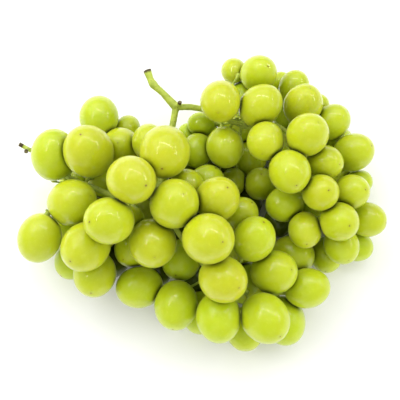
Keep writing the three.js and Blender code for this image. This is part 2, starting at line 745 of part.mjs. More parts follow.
const FINISHES = {
  large: { color: 0xc6d238, roughness: 0.3 },
  small: { color: 0xc2ce40, roughness: 0.3 },
  stem: { color: 0x9aab3c, roughness: 0.65 },
};
const bunch = new THREE.Group();
bunch.name = 'bunch_of_grapes';
bunch.add(
  toMesh(leftSolid, 'berries_left', FINISHES.large, shift),
  toMesh(rightSolid, 'berries_right', FINISHES.small, shift),
  toMesh(stemSolid, 'stem', FINISHES.stem, shift),
);

export default bunch;
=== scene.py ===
import logging
import math
from dataclasses import dataclass, field
from enum import Enum

import bmesh
import bpy
import numpy as np
from mathutils import Matrix, Vector


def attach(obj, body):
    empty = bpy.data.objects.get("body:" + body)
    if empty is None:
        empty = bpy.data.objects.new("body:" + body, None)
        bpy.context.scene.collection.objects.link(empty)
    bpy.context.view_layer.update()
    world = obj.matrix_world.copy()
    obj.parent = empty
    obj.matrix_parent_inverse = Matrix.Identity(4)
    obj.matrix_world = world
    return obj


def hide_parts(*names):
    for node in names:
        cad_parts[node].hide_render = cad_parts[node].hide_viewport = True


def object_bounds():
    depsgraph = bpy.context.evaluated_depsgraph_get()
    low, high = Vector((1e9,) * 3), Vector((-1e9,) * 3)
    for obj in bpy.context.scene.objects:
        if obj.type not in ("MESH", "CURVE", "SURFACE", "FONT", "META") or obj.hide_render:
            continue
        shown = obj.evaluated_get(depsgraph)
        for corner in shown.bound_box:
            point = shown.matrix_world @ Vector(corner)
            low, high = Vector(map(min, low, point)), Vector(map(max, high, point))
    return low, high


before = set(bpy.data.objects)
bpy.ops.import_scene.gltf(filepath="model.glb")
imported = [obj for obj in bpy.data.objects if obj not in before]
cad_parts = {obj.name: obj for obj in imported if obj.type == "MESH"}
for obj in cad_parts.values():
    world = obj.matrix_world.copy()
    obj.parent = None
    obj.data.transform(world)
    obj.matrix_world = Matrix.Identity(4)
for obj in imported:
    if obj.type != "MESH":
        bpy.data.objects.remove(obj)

LOG = logging.getLogger("grapes")
CAD_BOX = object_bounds()

MM = 0.001
BODY = "root"
# A berry's length for a width of 1, and how far out the corners of its facets stand in the solids
LENGTH_TO_WIDTH = 1.16
FACET_SWELL = 1.03


class Lobe(Enum):
    """The two lobes of the bunch, by the name of their CAD node."""

    LEFT = "berries_left"
    RIGHT = "berries_right"


def distances(points: np.ndarray, place: "np.ndarray | tuple") -> np.ndarray:
    """Returns how far each point is from a place."""
    return np.sqrt(((points - np.array(place)) ** 2).sum(axis=1))


def vertex_places(mesh: bpy.types.Mesh) -> np.ndarray:
    """Reads a mesh's vertices.

    Args:
        mesh: the mesh.

    Returns:
        Their places, a row each.
    """
    places = np.empty(len(mesh.vertices) * 3)
    mesh.vertices.foreach_get("co", places)
    return places.reshape(-1, 3)


def store(mesh: bpy.types.Mesh, name: str, values: np.ndarray) -> None:
    """Stores a number for each vertex under a name that a shader can read."""
    mesh.attributes.new(name, "FLOAT", "POINT").data.foreach_set("value", values)


def pointed(place: "np.ndarray | Vector | tuple", direction: "np.ndarray | Vector") -> Matrix:
    """Returns the transform that puts a thing at a place, with its Z axis along a direction."""
    return Matrix.Translation(place) @ Vector(direction).to_track_quat("Z", "Y").to_matrix().to_4x4()


def add_object(name: str, data: bpy.types.ID) -> bpy.types.Object:
    """Adds an object to the scene.

    Args:
        name: the object's name.
        data: its mesh, light or camera.

    Returns:
        The object.
    """
    made = bpy.data.objects.new(name, data)
    bpy.context.scene.collection.objects.link(made)
    return made


class Socket:
    """A node socket or a plain number that can be used in sums."""

    def __init__(self, tree: bpy.types.NodeTree, value: "bpy.types.NodeSocket | float") -> None:
        """Keeps the tree and the socket or number.

        Args:
            tree: the node tree that new nodes go in.
            value: a socket to read, or a number.
        """
        self.tree = tree
        self.value = value

    def _math(self, operation: str, first: object, second: object = 0.0) -> "Socket":
        """Adds one Math node.

        Args:
            operation: the node's operation.
            first: the first value.
            second: the second value.

        Returns:
            The node's output.
        """
        node = self.tree.nodes.new("ShaderNodeMath")
        node.operation = operation
        for slot, value in zip(node.inputs, (first, second)):
            value = value.value if isinstance(value, Socket) else value
            if isinstance(value, bpy.types.NodeSocket):
                self.tree.links.new(value, slot)
            else:
                slot.default_value = value
        return Socket(self.tree, node.outputs[0])

    def __add__(self, other: object) -> "Socket":
        """Returns self + other."""
        return self._math("ADD", self, other)

    def __radd__(self, other: object) -> "Socket":
        """Returns other + self."""
        return self._math("ADD", other, self)

    def __sub__(self, other: object) -> "Socket":
        """Returns self - other."""
        return self._math("SUBTRACT", self, other)

    def __rsub__(self, other: object) -> "Socket":
        """Returns other - self."""
        return self._math("SUBTRACT", other, self)

    def __mul__(self, other: object) -> "Socket":
        """Returns self * other."""
        return self._math("MULTIPLY", self, other)

    def __truediv__(self, other: object) -> "Socket":
        """Returns self / other."""
        return self._math("DIVIDE", self, other)

    def __pow__(self, other: object) -> "Socket":
        """Returns self to the power of other."""
        return self._math("POWER", self, other)

    def clamped(self) -> "Socket":
        """Returns self held between 0 and 1."""
        return self._math("MINIMUM", self._math("MAXIMUM", self, 0.0), 1.0)

    def ramped(self, low: float, high: float) -> "Socket":
        """Returns 0 up to low, 1 from high, and a straight rise between."""
        return ((self - low) / (high - low)).clamped()


class Shader:
    """Builds one material's nodes."""

    def __init__(self, name: str) -> None:
        """Makes an empty node material with its output.

        Args:
            name: the material's name.
        """
        self.material = bpy.data.materials.new(name)
        self.material.use_nodes = True
        self.tree = self.material.node_tree
        self.tree.nodes.clear()

    def node(self, kind: str, settings: dict | None = None, **inputs: object) -> bpy.types.Node:
        """Adds a node, with its settings first and then its inputs.

        Args:
            kind: the node's type name.
            settings: the node's own properties.
            **inputs: values or links by socket name, with _ for a space, or by "iN" for the Nth socket.

        Returns:
            The node.
        """
        made = self.tree.nodes.new(kind)
        for key, value in (settings or {}).items():
            setattr(made, key, value)
        for key, value in inputs.items():
            numbered = key[0] == "i" and key[1:].isdigit()
            socket = made.inputs[int(key[1:])] if numbered else made.inputs[key.replace("_", " ")]
            value = value.value if isinstance(value, Socket) else value
            if isinstance(value, bpy.types.NodeSocket):
                self.tree.links.new(value, socket)
            else:
                socket.default_value = value
        return made

    def attribute(self, name: str) -> Socket:
        """Returns a number that the mesh holds for each vertex."""
        return Socket(self.tree, self.node("ShaderNodeAttribute", {"attribute_name": name}).outputs["Fac"])

    def place(self) -> bpy.types.NodeSocket:
        """Returns the object coordinates."""
        return self.node("ShaderNodeTexCoord").outputs["Object"]

    def noise(self, size: float, detail: float = 2.0) -> Socket:
        """Adds soft noise.

        Args:
            size: how wide its patches are, about, in metres.
            detail: how many finer layers lie on it.

        Returns:
            A number from 0 to 1.
        """
        made = self.node("ShaderNodeTexNoise", Vector=self.place(), Scale=1.0 / size, Detail=detail)
        return Socket(self.tree, made.outputs["Fac"])

    def dots(self, size: float, reach: float) -> Socket:
        """Adds small round dots with soft rims.

        Args:
            size: how far apart the dots are, in metres.
            reach: a dot's radius as a share of that.

        Returns:
            1 in the dots and 0 between them.
        """
        made = self.node("ShaderNodeTexVoronoi", Vector=self.place(), Scale=1.0 / size)
        return 1.0 - Socket(self.tree, made.outputs["Distance"]).ramped(reach * 0.5, reach)

    def mix(self, factor: Socket, first: object, second: object) -> bpy.types.NodeSocket:
        """Mixes two colours, each a triple or a socket.

        Args:
            factor: 0 for the first, 1 for the second.
            first: the first colour.
            second: the second colour.

        Returns:
            The mixed colour's socket.
        """
        colours = [(*one, 1.0) if isinstance(one, tuple) else one for one in (first, second)]
        # A Mix node takes its two colours in sockets 6 and 7 and gives the mixed one in output 2
        made = self.node("ShaderNodeMix", {"data_type": "RGBA"}, i0=factor, i6=colours[0], i7=colours[1])
        return made.outputs[2]

    def bump(self, height: Socket, distance: float) -> bpy.types.NodeSocket:
        """Returns a normal bent by a height of 0 to 1 that stands for distance metres."""
        made = self.node("ShaderNodeBump", Height=height, Distance=distance, Strength=1.0)
        return made.outputs["Normal"]

    def surface(self, **inputs: object) -> bpy.types.Material:
        """Ends the material in one Principled shader.

        Args:
            **inputs: its sockets by name, with _ for a space.

        Returns:
            The finished material.
        """
        body = self.node("ShaderNodeBsdfPrincipled", {"subsurface_method": "RANDOM_WALK"}, **inputs)
        self.node("ShaderNodeOutputMaterial", Surface=body.outputs[0])
        return self.material


@dataclass(frozen=True)
class Patches:
    """Patches of soft noise: their size in metres, and where they start and are full, from 0 to 1."""

    size: float
    start: float
    full: float
    detail: float = 2.0

    def on(self, shader: Shader) -> Socket:
        """Returns 0 outside the patches and 1 where they are full."""
        return shader.noise(self.size, self.detail).ramped(self.start, self.full)


@dataclass(frozen=True)
class Dots:
    """Small dots: how far apart they are in metres, a dot's radius as a share of that, and their strength."""

    size: float
    reach: float
    strength: float

    def on(self, shader: Shader) -> Socket:
        """Returns 0 between the dots and their strength in them."""
        return shader.dots(self.size, self.reach) * self.strength


@dataclass(frozen=True)
class BerrySkin:
    """Thin translucent grape skin: yellow-green, glossy, with a faint bloom, a brown blossom scar and painted
    shade in the gaps between berries.

    A place along the berry is its polar angle, from 0 at the blossom scar to 1 at the stem. A rim is
    where a mark starts to fade and where it is gone, and a strength is how much of a layer shows at most.
    """

    name: str
    ripe: tuple = (0.465, 0.48, 0.010)
    # The green that low berries lean to is lighter than the ripe colour: their unripe tone, and painted light
    # that lifts their shade
    green: tuple = (0.43, 0.55, 0.008)
    pale: tuple = (0.78, 0.80, 0.12)
    scar: tuple = (0.20, 0.14, 0.015)
    # Painted shade: near-black green laid into the gaps where berries touch and over berries buried under
    # others
    shade: tuple = (0.015, 0.03, 0.003)
    bloom: tuple = (0.76, 0.80, 0.28)
    ripe_patch: float = 11.0 * MM
    ripe_spread: float = 0.5
    veins: Patches = Patches(1.6 * MM, 0.56, 0.74, detail=3.0)
    vein_strength: float = 0.10
    pale_end: tuple = (0.70, 1.0)
    pale_strength: float = 0.40
    bloom_patches: Patches = Patches(5.0 * MM, 0.45, 0.72, detail=4.0)
    bloom_strength: float = 0.08
    specks: Dots = Dots(1.3 * MM, 0.13, 0.35)
    speck_patches: Patches = Patches(9.0 * MM, 0.52, 0.64)
    scar_grain: float = 0.4 * MM
    scar_raggedness: float = 0.012
    scar_spread: float = 0.006
    scar_rim: tuple = (0.004, 0.013)
    halo_rim: tuple = (0.012, 0.045)
    halo_tint: float = 0.12
    halo_dots: Dots = Dots(0.45 * MM, 0.4, 0.3)
    # How fast the painted shade falls off and how much of it shows at most
    painted_shade_fall: float = 1.5
    painted_shade_strength: float = 0.85
    roughness: float = 0.28
    bloom_roughness: float = 0.14
    scar_roughness: float = 0.4
    pores: float = 0.45 * MM
    pore_share: float = 0.6
    dents: float = 3.5 * MM
    bump_height: float = 0.05 * MM
    glow_depth: float = 4.0 * MM

    def _ripeness_and_painted_light(self, shader: Shader) -> Socket:
        """Returns how ripe the skin is, with painted light from the berry's height in it: the berry's own
        tint, with patches on it.
        """
        patches = (shader.noise(self.ripe_patch) - 0.5) * self.ripe_spread
        return (shader.attribute("tint") + patches).clamped()

    def build(self) -> bpy.types.Material:
        """Builds the skin, from its ground colour to the scar and the painted shade in the nooks.

        Returns:
            The material.
        """
        shader = Shader(self.name)
        pole = shader.attribute("pole")
        bloom = self.bloom_patches.on(shader)
        specks = self.specks.on(shader) * self.speck_patches.on(shader)
        grain = (shader.noise(self.scar_grain) - 0.5) * self.scar_raggedness
        ragged = pole + grain - shader.attribute("mark") * self.scar_spread
        halo = (1.0 - ragged.ramped(*self.halo_rim)) * (self.halo_tint + self.halo_dots.on(shader))
        scar = 1.0 - ragged.ramped(*self.scar_rim)
        # Painted shade in the gaps between berries and over buried berries
        painted_nook_shade = shader.attribute("painted_nook_shade") ** self.painted_shade_fall * self.painted_shade_strength
        colour = shader.mix(self._ripeness_and_painted_light(shader), self.green, self.ripe)
        layers = (
            (self.veins.on(shader) * self.vein_strength, self.pale),
            (pole.ramped(*self.pale_end) * self.pale_strength, self.pale),
            (bloom * self.bloom_strength, self.bloom),
            (specks, self.scar),
            (halo, self.scar),
            (scar, self.scar),
            (painted_nook_shade, self.shade),
        )
        for amount, paint in layers:
            colour = shader.mix(amount, colour, paint)
        relief = shader.noise(self.pores, detail=3.0) * self.pore_share + shader.noise(self.dents)
        return shader.surface(
            Base_Color=colour,
            Roughness=self.roughness + bloom * self.bloom_roughness + scar * self.scar_roughness,
            Normal=shader.bump(relief, self.bump_height),
            IOR=1.42,
            Subsurface_Weight=0.6,
            Subsurface_Radius=(0.75, 1.0, 0.12),
            Subsurface_Scale=self.glow_depth,
            Specular_IOR_Level=0.3,
            Coat_Weight=0.6,
            Coat_Roughness=0.035,
            Sheen_Weight=0.04,
            Sheen_Roughness=0.4,
        )


@dataclass(frozen=True)
class GreenStem:
    """Fresh green stem, darker and browner in patches, brown where it is cut.

    A range is where a layer starts and where it is full.
    """

    name: str = "green_stem"
    light: tuple = (0.44, 0.52, 0.07)
    dark: tuple = (0.20, 0.27, 0.03)
    brown: tuple = (0.06, 0.04, 0.012)
    pith: tuple = (0.22, 0.18, 0.07)
    patch_size: float = 4.0 * MM
    dark_range: tuple = (0.42, 0.70)
    dark_strength: float = 0.7
    lenticels: Dots = Dots(1.5 * MM, 0.24, 0.55)
    lenticel_rise: float = 0.6
    cut_grain: float = 0.8 * MM
    cut_raggedness: float = 0.35
    brown_range: tuple = (0.35, 0.65)
    pith_range: tuple = (1.25, 1.6)
    pith_strength: float = 0.7
    roughness: float = 0.5
    patch_roughness: float = 0.2
    bark_grain: float = 0.7 * MM
    bump_height: float = 0.12 * MM

    def build(self) -> bpy.types.Material:
        """Builds the stem's finish.

        Returns:
            The material.
        """
        shader = Shader(self.name)
        patches = shader.noise(self.patch_size, detail=3.0)
        lenticels = self.lenticels.on(shader)
        cut = shader.attribute("cut")
        ragged = cut + (shader.noise(self.cut_grain) - 0.5) * self.cut_raggedness
        colour = shader.mix(patches.ramped(*self.dark_range) * self.dark_strength, self.light, self.dark)
        colour = shader.mix(lenticels, colour, self.brown)
        colour = shader.mix(ragged.ramped(*self.brown_range), colour, self.brown)
        colour = shader.mix(cut.ramped(*self.pith_range) * self.pith_strength, colour, self.pith)
        relief = shader.noise(self.bark_grain, detail=4.0) + lenticels * self.lenticel_rise
        return shader.surface(
            Base_Color=colour,
            Roughness=self.roughness + patches * self.patch_roughness,
            Normal=shader.bump(relief, self.bump_height),
            Subsurface_Weight=0.15,
            Subsurface_Radius=(0.8, 1.0, 0.2),
            Subsurface_Scale=1.5 * MM,
        )


@dataclass(frozen=True)
class PaleFloor:
    """Plain pale floor."""

    name: str = "pale_floor"
    colour: tuple = (0.86, 0.86, 0.85)

    def build(self) -> bpy.types.Material:
        """Builds the floor's finish.

        Returns:
            The material.
        """
        shader = Shader(self.name)
        return shader.surface(Base_Color=(*self.colour, 1.0), Roughness=0.6)


@dataclass
class Berry:
    """One berry: its middle and radius across in metres, and the axis that points to its blossom end.

    The tint is how ripe it is, from 0 to 1, partly set by height as painted light, and the mark how wide its
    scar is, from -1 to 1.
    """

    centre: np.ndarray
    radius: float
    axis: np.ndarray
    tint: float = 0.5
    mark: float = 0.5

    def end(self, side: int) -> np.ndarray:
        """Returns the tip at the blossom, for 1, or at the stem, for -1."""
        return self.centre + side * self.axis * self.radius * LENGTH_TO_WIDTH

    def swollen(self) -> "Berry":
        """Returns the larger berry that the corners of its CAD facets lie on."""
        return Berry(self.centre, self.radius * FACET_SWELL, self.axis)

    def depth(self, points: np.ndarray) -> np.ndarray:
        """Measures how far each point lies outside the skin, counted across the berry.

        Args:
            points: an array of points.

        Returns:
            Distances in metres, below 0 inside.
        """
        offset = points - self.centre
        along = offset @ self.axis
        across = np.maximum((offset**2).sum(axis=1) - along**2, 0.0)
        return np.sqrt(across + (along / LENGTH_TO_WIDTH) ** 2) - self.radius

    def reach(self, direction: np.ndarray) -> float:
        """Returns how far the skin is from the middle in a direction."""
        along = float(direction @ self.axis)
        return self.radius / math.sqrt(1 - along**2 + (along / LENGTH_TO_WIDTH) ** 2)


class BerryFinder:
    """Finds the berries in a lobe's fused CAD solid, from the facets that each one shows."""

    # Lengths in metres: corners this close are one, a groove is deeper, and the floor is no higher
    MERGE = 2e-6
    FLAT = 2e-6
    FLOOR = FLAT * 5
    # A fit with a smaller error is a single berry, and a corner that lies nearer to its skin is its own
    EXACT = 0.05 * MM
    # Corners that settle a berry, and those that a first guess in a mixed patch takes
    FEWEST = 7
    NEAREST = 12
    # Starting axes of a fit, their seed, the steps of each, and the nudge that gives a slope
    STARTS = 7
    SEED = 3
    STEPS = 25
    NUDGE = 1e-6
    # How strongly a step is held back at first, after a good step and after a bad one
    DAMPING = 1e-3
    LOOSEN = 0.3
    TIGHTEN = 8
    # Keeps a step from dividing by 0, and the first guess of a squared radius from falling below it
    TINY = 1e-12
    SMALLEST_SQUARE = 1e-6

    def __init__(self, node: bpy.types.Object) -> None:
        """Takes a merged copy of the node's mesh.

        Args:
            node: the lobe's CAD node.
        """
        self.mesh = bmesh.new()
        self.mesh.from_mesh(node.data)
        bmesh.ops.remove_doubles(self.mesh, verts=self.mesh.verts, dist=self.MERGE)
        self.mesh.verts.index_update()
        self.mesh.faces.index_update()

    def find(self) -> list[Berry]:
        """Fits a berry to each patch of facets.

        Returns:
            The berries, in the order of their patches.
        """
        berries = []
        for patch in self._patches():
            points = self._own_points(patch)
            while len(points) >= self.FEWEST:
                berry, error = self._fit(points)
                if error > self.EXACT:
                    berry = self._pick_one(points)
                berries.append(berry)
                points = points[np.abs(berry.swollen().depth(points)) > self.EXACT]
        self.mesh.free()
        return berries

    def _pick_one(self, points: np.ndarray) -> Berry:
        """Finds one berry in a patch that runs over several.

        Args:
            points: the corners of all their facets.

        Returns:
            The berry that the most corners lie on.
        """
        best, most = None, 0
        for start in points:
            nearest = np.argsort(((points - start) ** 2).sum(axis=1))[: self.NEAREST]
            berry, _ = self._fit(points[nearest])
            count = int((np.abs(berry.swollen().depth(points)) < self.EXACT).sum())
            if count > most:
                best, most = berry, count
        return best

    def _concave(self, edge: bmesh.types.BMEdge) -> bool:
        """Says whether two facets meet in a groove, which is where two berries press together.

        Args:
            edge: the edge between the facets.

        Returns:
            True in a groove and at an open edge.
        """
        if len(edge.link_faces) != 2:
            return True
        first, second = edge.link_faces
        far = next(vert for vert in second.verts if vert not in edge.verts)
        return (far.co - edge.verts[0].co).dot(first.normal) > self.FLAT

    def _patches(self) -> list[list[bmesh.types.BMFace]]:
        """Gathers the facets that meet in ridges.

        Returns:
            Lists of facets, one for each berry or part of one.
        """
        seen: set[int] = set()
        patches = []
        for start in self.mesh.faces:
            if start.index in seen:
                continue
            seen.add(start.index)
            patch, queue = [], [start]
            while queue:
                face = queue.pop()
                patch.append(face)
                for edge in face.edges:
                    if self._concave(edge):
                        continue
                    for beside in edge.link_faces:
                        if beside.index not in seen:
                            seen.add(beside.index)
                            queue.append(beside)
            patches.append(patch)
        return patches

    def _own_points(self, patch: list[bmesh.types.BMFace]) -> np.ndarray:
        """Gathers the patch's vertices that touch no groove and no floor.

        Args:
            patch: the facets.

        Returns:
            The vertices' places, a row each, in the order of the mesh.
        """
        verts = sorted({vert for face in patch for vert in face.verts}, key=lambda vert: vert.index)
        own = [
            tuple(vert.co)
            for vert in verts
            if vert.co.z > self.FLOOR and not any(self._concave(edge) for edge in vert.link_edges)
        ]
        return np.array(own).reshape(-1, 3)

    def _fit(self, points: np.ndarray) -> tuple[Berry, float]:
        """Fits a spheroid of the known proportion by least squares, from several starting axes.

        Args:
            points: points on the berry's facets' corners.

        Returns:
            The berry at its true size, and the typical error in metres.
        """
        system = np.c_[2 * points, np.ones(len(points))]
        ball = np.linalg.lstsq(system, (points**2).sum(axis=1), rcond=None)[0]
        radius = math.sqrt(max(ball[3] + ball[:3] @ ball[:3], self.SMALLEST_SQUARE))
        best, best_error = None, math.inf
        generator = np.random.default_rng(self.SEED)
        for _ in range(self.STARTS):
            axis = generator.normal(size=3)
            values = np.r_[ball[:3], radius, axis / np.linalg.norm(axis)]
            values, error = self._improve(values, points)
            if error < best_error:
                best, best_error = values, error
        return Berry(best[:3], best[3] / FACET_SWELL, best[4:]), best_error

    @staticmethod
    def _errors(values: np.ndarray, points: np.ndarray) -> np.ndarray:
        """Returns each point's distance from the spheroid that the values describe."""
        axis = values[4:] / np.linalg.norm(values[4:])
        return Berry(values[:3], values[3], axis).depth(points)

    def _improve(self, values: np.ndarray, points: np.ndarray) -> tuple[np.ndarray, float]:
        """Steps towards the best fit.

        Args:
            values: middle, radius and axis in one array.
            points: the points to fit.

        Returns:
            The better values and their typical error.
        """
        damping = self.DAMPING
        errors = self._errors(values, points)
        for _ in range(self.STEPS):
            slopes = np.empty((len(points), len(values)))
            for i in range(len(values)):
                nudged = values.copy()
                nudged[i] += self.NUDGE
                slopes[:, i] = (self._errors(nudged, points) - errors) / self.NUDGE
            square = slopes.T @ slopes
            held = square + damping * np.diag(np.diag(square) + self.TINY)
            tried = values + np.linalg.solve(held, -slopes.T @ errors)
            tried[4:] /= np.linalg.norm(tried[4:])
            tried_errors = self._errors(tried, points)
            if (tried_errors**2).sum() < (errors**2).sum():
                values, errors, damping = tried, tried_errors, damping * self.LOOSEN
            else:
                damping *= self.TIGHTEN
        return values, float(np.sqrt((errors**2).mean()))


@dataclass
class BerryCluster:
    """The berries of one lobe, each a smooth fruit with its stem dimple, blossom scar and pressed flats.

    The rings of a berry are at angles in radians: the scar's from the blossom end, the belt's from there
    too, as the first, the last and their number, and the stem's from the stem end. A berry gives way to a
    plane from press_start times the softness before it.
    """

    lobe: Lobe
    finish: BerrySkin
    sides: int = 32
    scar_angles: tuple = (0.0, 0.018, 0.036, 0.056, 0.085, 0.13, 0.20)
    stem_angles: tuple = (0.22, 0.16, 0.11, 0.06, 0.0)
    belt: tuple = (0.32, 2.82, 16)
    weld: float = 0.01 * MM
    dimple_radius: float = 2.0 * MM
    dimple_depth: float = 0.55 * MM
    scar_radius: float = 0.45 * MM
    scar_height: float = 0.18 * MM
    scar_dip: float = 0.22 * MM
    dip_radius: float = 1.35 * MM
    shoulder: float = 0.05
    greener_and_painted_light_below: float = 0.9
    tint_draw: tuple = (-0.25, 0.2)
    mark_draw: tuple = (-1.0, 1.0)
    neighbourhood: float = 1.25
    press_gap: float = 0.04 * MM
    press_softness: float = 0.35 * MM
    press_start: float = -3.0
    # Painted shade: how far it reaches from a touching berry, the buried measure over which it darkens a
    # whole berry, and how much an open side takes off that measure
    painted_shade_reach: float = 2.2 * MM
    buried_shade_range: tuple = (0.85, 0.97)
    open_side: float = 1.5
    berries: list[Berry] = field(default_factory=list)

    def find(self, stem_points: np.ndarray) -> None:
        """Finds the berries in the CAD solid and turns each axis away from its pedicel.

        Args:
            stem_points: the stem's vertices.
        """
        self.berries = BerryFinder(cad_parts[self.lobe.value]).find()
        draw = np.random.default_rng(len(self.berries))
        top = CAD_BOX[1][2]
        for berry in self.berries:
            away = [distances(stem_points, berry.end(side)).min() for side in (-1, 1)]
            if away[0] > away[1]:
                berry.axis = -berry.axis
            # Lower berries lean to the greener, lighter colour: partly the unripe tone of inner berries,
            # partly painted light that lifts their shade
            height = berry.centre[2] / top
            ripeness_and_painted_light = 1 - self.greener_and_painted_light_below * (1 - height) + draw.uniform(*self.tint_draw)
            berry.tint = float(np.clip(ripeness_and_painted_light, 0, 1))
            berry.mark = float(draw.uniform(*self.mark_draw))

    def _profile(self, berry: Berry) -> list[tuple[float, float, float]]:
        """Works out the outline from the blossom scar to the stem end.

        Args:
            berry: the berry.

        Returns:
            Radius, place along the axis and polar angle from 0 to 1, for each ring.
        """
        stem_angles = [math.pi - angle for angle in self.stem_angles]
        points = []
        for angle in (*self.scar_angles, *np.linspace(*self.belt), *stem_angles):
            across = math.sin(angle) * berry.radius
            along = math.cos(angle) * berry.radius * LENGTH_TO_WIDTH
            if angle < math.pi / 2:
                along -= self.scar_dip * math.exp(-((across / self.dip_radius) ** 2))
                along += self.scar_height * math.exp(-((across / self.scar_radius) ** 4))
            else:
                along += self.dimple_depth * math.exp(-((across / self.dimple_radius) ** 2))
            slim = 1 - self.shoulder * math.sin(angle) ** 2 * max(0.0, math.cos(angle)) ** 2
            points.append((across * slim, along, angle / math.pi))
        return points

    def _fruit(self, berry: Berry) -> tuple[np.ndarray, np.ndarray, list]:
        """Spins one berry.

        Args:
            berry: the berry.

        Returns:
            Its vertices, their polar angles and its faces.
        """
        mesh = bmesh.new()
        pole = mesh.verts.layers.float.new("pole")
        outline = []
        for across, along, angle in self._profile(berry):
            vert = mesh.verts.new((across, 0.0, along))
            vert[pole] = angle
            outline.append(vert)
        edges = [mesh.edges.new(pair) for pair in zip(outline, outline[1:])]
        around = {"cent": (0, 0, 0), "axis": (0, 0, 1), "angle": 2 * math.pi, "steps": self.sides}
        bmesh.ops.spin(mesh, geom=outline + edges, use_merge=True, **around)
        bmesh.ops.remove_doubles(mesh, verts=mesh.verts, dist=self.weld)
        bmesh.ops.recalc_face_normals(mesh, faces=mesh.faces)
        bmesh.ops.transform(mesh, matrix=pointed(berry.centre, berry.axis), verts=mesh.verts)
        mesh.verts.index_update()
        verts = np.array([tuple(vert.co) for vert in mesh.verts])
        poles = np.array([vert[pole] for vert in mesh.verts])
        faces = [[vert.index for vert in face.verts] for face in mesh.faces]
        mesh.free()
        return verts, poles, faces

    def _press(self, berry: Berry, verts: np.ndarray) -> np.ndarray:
        """Flattens a berry where it presses on its neighbours, on the floor and on the sides of the CAD box.

        Args:
            berry: the berry.
            verts: its vertices.

        Returns:
            The vertices, moved in.
        """
        planes = [(np.array(CAD_BOX[0]), -side) for side in np.eye(3)]
        planes += [(np.array(CAD_BOX[1]), side) for side in np.eye(3)]
        for other in self.berries:
            apart = other.centre - berry.centre
            distance = float(np.linalg.norm(apart))
            if other is berry or distance > self.neighbourhood * (berry.radius + other.radius):
                continue
            direction = apart / distance
            own, theirs = berry.reach(direction), other.reach(-direction)
            if own + theirs > distance:
                middle = berry.centre + direction * (distance + own - theirs) / 2
                planes.append((middle, direction))
        for middle, direction in planes:
            over = ((verts - middle) @ direction + self.press_gap) / self.press_softness
            soft = np.logaddexp(0.0, over) * self.press_softness
            verts = verts - np.outer(np.where(over > self.press_start, soft, 0.0), direction)
        return verts

    def _painted_shade(self, berry: Berry, verts: np.ndarray, neighbours: list[Berry]) -> np.ndarray:
        """Says how much painted shade each vertex gets, from how deep it lies between berries and how far
        others cover its berry from above.

        Args:
            berry: the berry.
            verts: its vertices.
            neighbours: all the berries.

        Returns:
            1 where another berry touches, falling to 0 a short way off, and up to 1 on a buried berry.
        """
        nearest = np.full(len(verts), math.inf)
        above, sideways = 0.0, np.zeros(2)
        for other in neighbours:
            if other is berry:
                continue
            nearest = np.minimum(nearest, other.depth(verts))
            apart = other.centre - berry.centre
            distance = float(np.linalg.norm(apart))
            weight = max(0.0, apart[2] / distance) * (other.radius / distance) ** 2
            above += weight
            sideways += weight * apart[:2] / distance
        low, high = self.buried_shade_range
        buried = above - self.open_side * float(np.linalg.norm(sideways))
        shaded = min(1.0, max(0.0, (buried - low) / (high - low)))
        return np.maximum(np.clip(1.0 - nearest / self.painted_shade_reach, 0.0, 1.0), shaded)

    def build(self, neighbours: list[Berry]) -> bpy.types.Object:
        """Builds the lobe's berries as one object.

        Args:
            neighbours: the berries of both lobes.

        Returns:
            The object, which rides on the body and replaces the CAD node.
        """
        all_verts, all_faces, start = [], [], 0
        stored: dict[str, list] = {"pole": [], "tint": [], "mark": [], "painted_nook_shade": []}
        for berry in self.berries:
            verts, poles, faces = self._fruit(berry)
            verts = self._press(berry, verts)
            all_verts.append(verts)
            all_faces += [[start + index for index in face] for face in faces]
            stored["pole"].append(poles)
            stored["tint"].append(np.full(len(verts), berry.tint))
            stored["mark"].append(np.full(len(verts), berry.mark))
            # Painted shade for each vertex, which the skin reads
            stored["painted_nook_shade"].append(self._painted_shade(berry, verts, neighbours))
            start += len(verts)
        name = f"{self.lobe.value}_fruit"
        mesh = bpy.data.meshes.new(name)
        mesh.from_pydata(np.concatenate(all_verts), [], all_faces)
        for key, values in stored.items():
            store(mesh, key, np.concatenate(values))
        mesh.shade_smooth()
        mesh.materials.append(self.finish.build())
        piece = add_object(name, mesh)
        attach(piece, BODY)
        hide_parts(self.lobe.value)
        return piece


